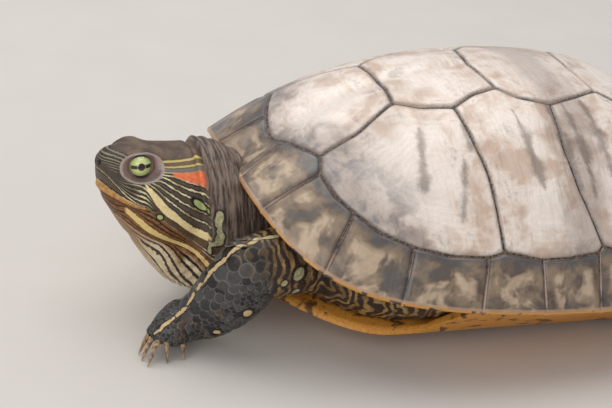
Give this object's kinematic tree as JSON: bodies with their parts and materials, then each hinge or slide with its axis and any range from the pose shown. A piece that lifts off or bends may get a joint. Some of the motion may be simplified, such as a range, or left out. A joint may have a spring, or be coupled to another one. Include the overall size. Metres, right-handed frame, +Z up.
{
  "type": "red-eared slider turtle",
  "caption": "Still life-size adult pond turtle resting on its plastron and feet, head half drawn in, domed shell over a flat belly plate.",
  "frame": {"origin": "on the floor, under the middle of the animal's length and width", "axes": "+X towards the tail, +Y to the animal's right, +Z up"},
  "size_m": [0.251, 0.1734, 0.0822],
  "materials": {
    "carapace_horn": "worn pale horn plates with dark seams, satin",
    "plastron_horn": "smooth orange-yellow horn with dark figures, satin",
    "skin": "granular dark reptile skin with fine yellow stripes",
    "eye": "wet glossy eyeball, green iris with a dark bar",
    "claw_horn": "smooth brown horn, satin"
  },
  "bodies": {
    "root": {"carapace": "carapace_horn", "plastron": "plastron_horn", "trunk": "skin", "neck": "skin", "head": "skin", "lower_jaw": "skin", "eye_left": "eye", "eye_right": "eye", "tail": "skin", "foreleg_left": "skin", "forefoot_left": "skin", "foreclaw_left_1": "claw_horn", "foreclaw_left_2": "claw_horn", "foreclaw_left_3": "claw_horn", "foreclaw_left_4": "claw_horn", "foreclaw_left_5": "claw_horn", "hindleg_left": "skin", "hindfoot_left": "skin", "hindclaw_left_1": "claw_horn", "hindclaw_left_2": "claw_horn", "hindclaw_left_3": "claw_horn", "hindclaw_left_4": "claw_horn", "foreleg_right": "skin", "forefoot_right": "skin", "foreclaw_right_1": "claw_horn", "foreclaw_right_2": "claw_horn", "foreclaw_right_3": "claw_horn", "foreclaw_right_4": "claw_horn", "foreclaw_right_5": "claw_horn", "hindleg_right": "skin", "hindfoot_right": "skin", "hindclaw_right_1": "claw_horn", "hindclaw_right_2": "claw_horn", "hindclaw_right_3": "claw_horn", "hindclaw_right_4": "claw_horn"}
  },
  "joints": []
}
